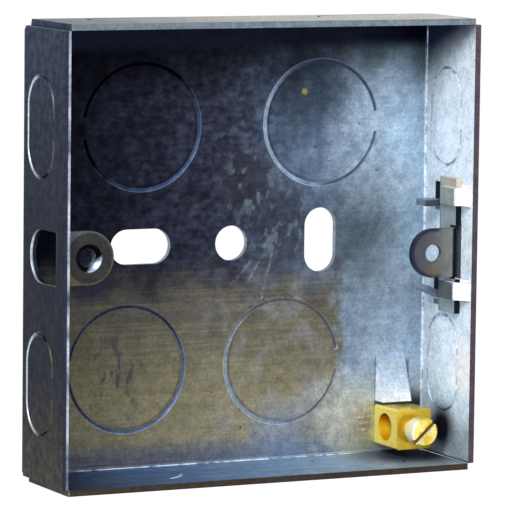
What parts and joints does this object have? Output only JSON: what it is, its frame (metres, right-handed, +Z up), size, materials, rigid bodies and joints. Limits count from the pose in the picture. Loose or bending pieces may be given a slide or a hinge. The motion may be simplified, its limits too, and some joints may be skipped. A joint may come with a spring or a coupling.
{
  "type": "metal back box",
  "caption": "Shallow square steel back box for a wall switch or socket, with knockouts, a fixed lug, a sliding lug and a brass earth terminal.",
  "frame": {"origin": "centre of the back's outer face, on the axis of the centre hole", "axes": "+X to the right seen from the open side, +Y into the wall, +Z up; the open side looks along -Y"},
  "size_m": [0.072, 0.017, 0.0724],
  "materials": {
    "galvanised_steel": "galvanised sheet with rolling streaks",
    "plated_steel": "zinc-plated strip",
    "brass": "machined brass"
  },
  "bodies": {
    "box": {"box_body": "galvanised_steel", "earth_terminal": "brass"},
    "lug": {"adjustable_lug": "plated_steel"},
    "screw": {"earth_screw": "brass"}
  },
  "joints": [
    {"name": "lug_slide", "type": "slide", "parent": "box", "child": "lug", "axis": [0, 0, 1], "range_m": [-0.0005, 0.0035]},
    {"name": "earth_screw_travel", "type": "slide", "parent": "box", "child": "screw", "axis": [0, -1, 0], "range_m": [-0.00155, 0.0015]}
  ]
}
